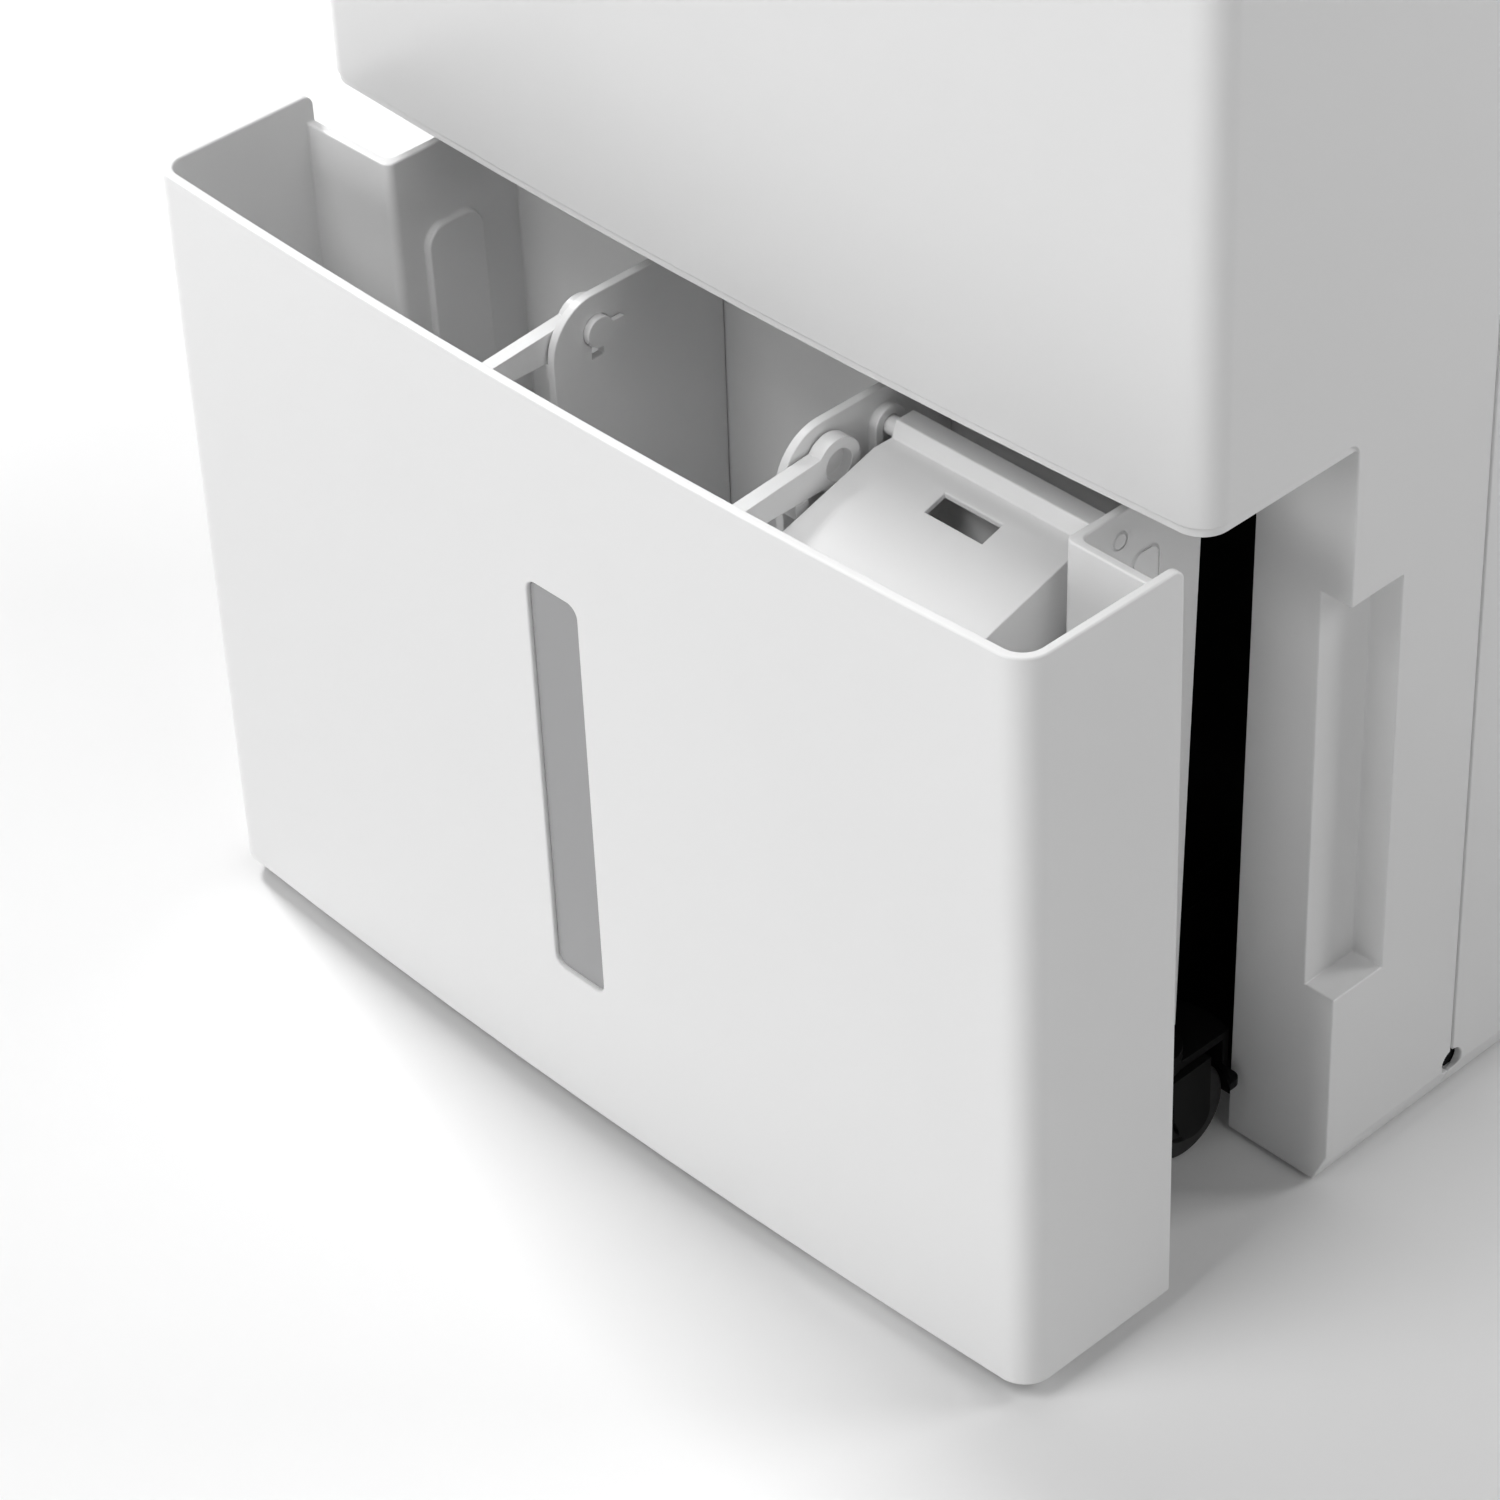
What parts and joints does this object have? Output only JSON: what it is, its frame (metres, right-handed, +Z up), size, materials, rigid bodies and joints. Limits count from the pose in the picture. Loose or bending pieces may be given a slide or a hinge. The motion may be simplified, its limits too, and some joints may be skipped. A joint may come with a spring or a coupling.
{
  "type": "dehumidifier",
  "caption": "Floor-standing compressor dehumidifier on casters with a pull-out front water tank, folding tank handle, level window, float, top outlet and rear filter.",
  "frame": {"origin": "on the floor under the middle of the closed housing", "axes": "+Z up, -Y is the way the front and the tank face, +X is to the right seen from the front"},
  "size_m": [0.36, 0.3429, 0.5938],
  "materials": {
    "housing_white": "fine satin moulded plastic",
    "grille_white": "satin moulded plastic",
    "tank_white": "satin moulded plastic",
    "handle_white": "satin moulded plastic",
    "float_white": "satin moulded plastic",
    "window_clear": "smoked translucent plastic",
    "panel_grey": "smooth satin fascia",
    "key_white": "satin keycap",
    "lens_dark": "dark glossy lens",
    "board_green": "solder resist",
    "bay_black": "black moulded plastic",
    "tread_black": "hard rubber tread",
    "blower_grey": "dark moulded plastic",
    "motor_grey": "plated can",
    "bright_steel": "zinc plated",
    "compressor_black": "black gloss enamel",
    "fin_aluminium": "bare fins",
    "copper": "copper tube",
    "rubber_black": "moulded rubber",
    "spigot_white": "moulded plastic",
    "filter_dark": "fine black netting",
    "sensor_dark": "potted plastic",
    "magnet_grey": "ferrite"
  },
  "bodies": {
    "housing": {"front_shell": "housing_white", "rear_shell": "housing_white", "shell_screws": "bright_steel", "top_cover": "housing_white", "control_panel": "panel_grey", "display_lens": "lens_dark", "control_board": "board_green", "outlet_grille": "grille_white", "outlet_duct": "bay_black", "fan_scroll": "blower_grey", "fan_inlet_plate": "blower_grey", "fan_motor": "motor_grey", "base_pan": "bay_black", "bay_liner": "bay_black", "level_sensor": "sensor_dark", "drip_tray": "bay_black", "evaporator_fins": "fin_aluminium", "evaporator_bends": "copper", "condenser_fins": "fin_aluminium", "condenser_bends": "copper", "compressor": "compressor_black", "compressor_grommets": "rubber_black", "compressor_bolts": "bright_steel", "accumulator": "compressor_black", "discharge_pipe": "copper", "suction_pipe": "copper", "liquid_line": "copper", "filter_drier": "copper", "drain_spigot": "spigot_white", "cord_inlet": "rubber_black"},
    "fan": {"fan_wheel": "blower_grey", "fan_shaft": "bright_steel"},
    "filter": {"intake_grille": "grille_white", "filter_mesh": "filter_dark"},
    "plug": {"drain_plug": "rubber_black"},
    "tank": {"tank_body": "tank_white", "level_window": "window_clear", "handle_plate_left": "tank_white", "handle_plate_right": "tank_white"},
    "handle": {"tank_handle": "handle_white"},
    "float": {"tank_float": "float_white", "float_magnet": "magnet_grey"},
    "button_fan": {"button_fan": "key_white"},
    "button_mode": {"button_mode": "key_white"},
    "button_power": {"button_power": "key_white"},
    "button_down": {"button_down": "key_white"},
    "button_up": {"button_up": "key_white"},
    "button_timer": {"button_timer": "key_white"},
    "fork_front_left": {"caster_fork_front_left": "bay_black"},
    "wheel_front_left": {"caster_wheel_front_left": "tread_black"},
    "fork_front_right": {"caster_fork_front_right": "bay_black"},
    "wheel_front_right": {"caster_wheel_front_right": "tread_black"},
    "fork_rear_left": {"caster_fork_rear_left": "bay_black"},
    "wheel_rear_left": {"caster_wheel_rear_left": "tread_black"},
    "fork_rear_right": {"caster_fork_rear_right": "bay_black"},
    "wheel_rear_right": {"caster_wheel_rear_right": "tread_black"}
  },
  "joints": [
    {"name": "tank_slide", "type": "slide", "parent": "housing", "child": "tank", "axis": [0, -1, 0], "range_m": [-0.0679, 0.12]},
    {"name": "handle_fold", "type": "hinge", "parent": "tank", "child": "handle", "pos_m": [0, -0.1349, 0.2425], "axis": [-1, 0, 0], "range_deg": [0, 90]},
    {"name": "float_rise", "type": "hinge", "parent": "tank", "child": "float", "pos_m": [0, -0.1119, 0.2435], "axis": [-1, 0, 0], "range_deg": [0, 12]},
    {"name": "fan_spin", "type": "hinge", "parent": "housing", "child": "fan", "pos_m": [-0.015, 0, 0.4171], "axis": [0, 1, 0], "continuous": true},
    {"name": "filter_slide", "type": "slide", "parent": "housing", "child": "filter", "axis": [0, 1, 0], "range_m": [0, 0.06]},
    {"name": "plug_slide", "type": "slide", "parent": "housing", "child": "plug", "axis": [0, 1, 0], "range_m": [0, 0.03]},
    {"name": "fan_press", "type": "slide", "parent": "housing", "child": "button_fan", "axis": [0, 0, -1], "range_m": [0, 0.0008], "stiffness_N_per_m": 1000, "springref_m": -0.0005},
    {"name": "mode_press", "type": "slide", "parent": "housing", "child": "button_mode", "axis": [0, 0, -1], "range_m": [0, 0.0008], "stiffness_N_per_m": 1000, "springref_m": -0.0005},
    {"name": "power_press", "type": "slide", "parent": "housing", "child": "button_power", "axis": [0, 0, -1], "range_m": [0, 0.0008], "stiffness_N_per_m": 1000, "springref_m": -0.0005},
    {"name": "down_press", "type": "slide", "parent": "housing", "child": "button_down", "axis": [0, 0, -1], "range_m": [0, 0.0008], "stiffness_N_per_m": 1000, "springref_m": -0.0005},
    {"name": "up_press", "type": "slide", "parent": "housing", "child": "button_up", "axis": [0, 0, -1], "range_m": [0, 0.0008], "stiffness_N_per_m": 1000, "springref_m": -0.0005},
    {"name": "timer_press", "type": "slide", "parent": "housing", "child": "button_timer", "axis": [0, 0, -1], "range_m": [0, 0.0008], "stiffness_N_per_m": 1000, "springref_m": -0.0005},
    {"name": "swivel_front_left", "type": "hinge", "parent": "housing", "child": "fork_front_left", "pos_m": [-0.131, -0.08651, 0.0374], "axis": [0, 0, 1], "continuous": true},
    {"name": "roll_front_left", "type": "hinge", "parent": "fork_front_left", "child": "wheel_front_left", "pos_m": [-0.131, -0.07851, 0.0163], "axis": [1, 0, 0], "continuous": true},
    {"name": "swivel_front_right", "type": "hinge", "parent": "housing", "child": "fork_front_right", "pos_m": [0.131, -0.08651, 0.0374], "axis": [0, 0, 1], "continuous": true},
    {"name": "roll_front_right", "type": "hinge", "parent": "fork_front_right", "child": "wheel_front_right", "pos_m": [0.131, -0.07851, 0.0163], "axis": [1, 0, 0], "continuous": true},
    {"name": "swivel_rear_left", "type": "hinge", "parent": "housing", "child": "fork_rear_left", "pos_m": [-0.131, 0.09532, 0.0374], "axis": [0, 0, 1], "continuous": true},
    {"name": "roll_rear_left", "type": "hinge", "parent": "fork_rear_left", "child": "wheel_rear_left", "pos_m": [-0.131, 0.10332, 0.0163], "axis": [1, 0, 0], "continuous": true},
    {"name": "swivel_rear_right", "type": "hinge", "parent": "housing", "child": "fork_rear_right", "pos_m": [0.131, 0.09532, 0.0374], "axis": [0, 0, 1], "continuous": true},
    {"name": "roll_rear_right", "type": "hinge", "parent": "fork_rear_right", "child": "wheel_rear_right", "pos_m": [0.131, 0.10332, 0.0163], "axis": [1, 0, 0], "continuous": true}
  ]
}
